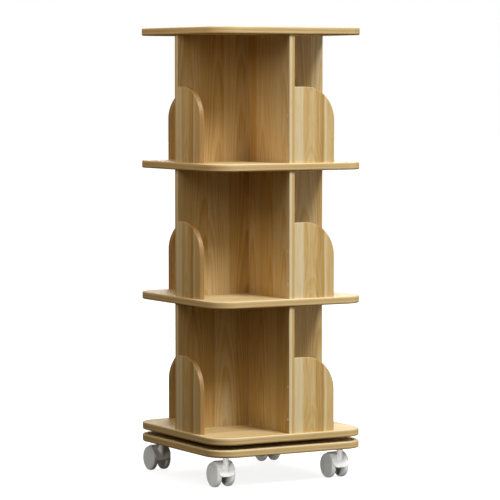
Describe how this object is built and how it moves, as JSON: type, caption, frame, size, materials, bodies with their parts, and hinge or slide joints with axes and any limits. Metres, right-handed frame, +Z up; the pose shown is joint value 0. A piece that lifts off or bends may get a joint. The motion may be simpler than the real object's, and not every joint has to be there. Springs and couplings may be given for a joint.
{
  "type": "rolling shelf unit",
  "caption": "Square wooden shelf tower on casters; its open tiers, each divided by a cross with low stops, turn on a bearing above the base.",
  "frame": {"origin": "on the floor under the axis on which the shelves turn", "axes": "+Z up, -Y towards the side that the picture shows on the right, as the front; +X to the right as seen from the front"},
  "size_m": [0.42, 0.429, 1.0965],
  "materials": {
    "oak": "satin lacquer",
    "beech": "bare",
    "steel": "zinc plated",
    "aluminium": "satin",
    "brass": "plain",
    "cage_plastic": "matt",
    "caster_plastic": "satin",
    "wheel_plastic": "satin"
  },
  "bodies": {
    "base": {"base_board": "oak", "turntable_inner_ring": "aluminium", "inner_ring_bolts": "steel", "caster_sockets": "brass", "caster_stems": "steel"},
    "shelves": {"top_board": "oak", "upper_shelf": "oak", "lower_shelf": "oak", "bottom_shelf": "oak", "front_to_back_panel_1": "oak", "side_to_side_panel_1": "oak", "front_to_back_panel_2": "oak", "side_to_side_panel_2": "oak", "front_to_back_panel_3": "oak", "side_to_side_panel_3": "oak", "front_stop_1": "oak", "left_stop_1": "oak", "back_stop_1": "oak", "right_stop_1": "oak", "front_stop_2": "oak", "left_stop_2": "oak", "back_stop_2": "oak", "right_stop_2": "oak", "front_stop_3": "oak", "left_stop_3": "oak", "back_stop_3": "oak", "right_stop_3": "oak", "stop_screws": "steel", "dowels": "beech", "cam_bolts": "steel", "cams": "steel", "turntable_outer_ring": "aluminium", "outer_ring_screws": "steel"},
    "bearing": {"ball_cage": "cage_plastic", "bearing_balls": "steel"},
    "front_left_caster": {"front_left_caster_hood": "caster_plastic", "front_left_axle": "steel"},
    "front_left_wheel_a": {"front_left_wheel_a": "wheel_plastic"},
    "front_left_wheel_b": {"front_left_wheel_b": "wheel_plastic"},
    "front_right_caster": {"front_right_caster_hood": "caster_plastic", "front_right_axle": "steel"},
    "front_right_wheel_a": {"front_right_wheel_a": "wheel_plastic"},
    "front_right_wheel_b": {"front_right_wheel_b": "wheel_plastic"},
    "back_left_caster": {"back_left_caster_hood": "caster_plastic", "back_left_axle": "steel"},
    "back_left_wheel_a": {"back_left_wheel_a": "wheel_plastic"},
    "back_left_wheel_b": {"back_left_wheel_b": "wheel_plastic"},
    "back_right_caster": {"back_right_caster_hood": "caster_plastic", "back_right_axle": "steel"},
    "back_right_wheel_a": {"back_right_wheel_a": "wheel_plastic"},
    "back_right_wheel_b": {"back_right_wheel_b": "wheel_plastic"}
  },
  "joints": [
    {"name": "shelves_turn", "type": "hinge", "parent": "base", "child": "shelves", "pos_m": [0, 0, 0.1065], "axis": [0, 0, 1], "continuous": true},
    {"name": "bearing_turn", "type": "hinge", "parent": "base", "child": "bearing", "pos_m": [0, 0, 0.10075], "axis": [0, 0, 1], "continuous": true},
    {"name": "front_left_swivel", "type": "hinge", "parent": "base", "child": "front_left_caster", "pos_m": [-0.159, -0.164, 0.0755], "axis": [0, 0, 1], "continuous": true},
    {"name": "front_left_roll_a", "type": "hinge", "parent": "front_left_caster", "child": "front_left_wheel_a", "pos_m": [-0.1775, -0.139, 0.03], "axis": [1, 0, 0], "continuous": true},
    {"name": "front_left_roll_b", "type": "hinge", "parent": "front_left_caster", "child": "front_left_wheel_b", "pos_m": [-0.1405, -0.139, 0.03], "axis": [1, 0, 0], "continuous": true},
    {"name": "front_right_swivel", "type": "hinge", "parent": "base", "child": "front_right_caster", "pos_m": [0.159, -0.164, 0.0755], "axis": [0, 0, 1], "continuous": true},
    {"name": "front_right_roll_a", "type": "hinge", "parent": "front_right_caster", "child": "front_right_wheel_a", "pos_m": [0.1405, -0.139, 0.03], "axis": [1, 0, 0], "continuous": true},
    {"name": "front_right_roll_b", "type": "hinge", "parent": "front_right_caster", "child": "front_right_wheel_b", "pos_m": [0.1775, -0.139, 0.03], "axis": [1, 0, 0], "continuous": true},
    {"name": "back_left_swivel", "type": "hinge", "parent": "base", "child": "back_left_caster", "pos_m": [-0.159, 0.164, 0.0755], "axis": [0, 0, 1], "continuous": true},
    {"name": "back_left_roll_a", "type": "hinge", "parent": "back_left_caster", "child": "back_left_wheel_a", "pos_m": [-0.1775, 0.189, 0.03], "axis": [1, 0, 0], "continuous": true},
    {"name": "back_left_roll_b", "type": "hinge", "parent": "back_left_caster", "child": "back_left_wheel_b", "pos_m": [-0.1405, 0.189, 0.03], "axis": [1, 0, 0], "continuous": true},
    {"name": "back_right_swivel", "type": "hinge", "parent": "base", "child": "back_right_caster", "pos_m": [0.159, 0.164, 0.0755], "axis": [0, 0, 1], "continuous": true},
    {"name": "back_right_roll_a", "type": "hinge", "parent": "back_right_caster", "child": "back_right_wheel_a", "pos_m": [0.1405, 0.189, 0.03], "axis": [1, 0, 0], "continuous": true},
    {"name": "back_right_roll_b", "type": "hinge", "parent": "back_right_caster", "child": "back_right_wheel_b", "pos_m": [0.1775, 0.189, 0.03], "axis": [1, 0, 0], "continuous": true}
  ],
  "couplings": [
    {"joint": "bearing_turn", "follows": "shelves_turn", "ratio": 0.5124}
  ]
}
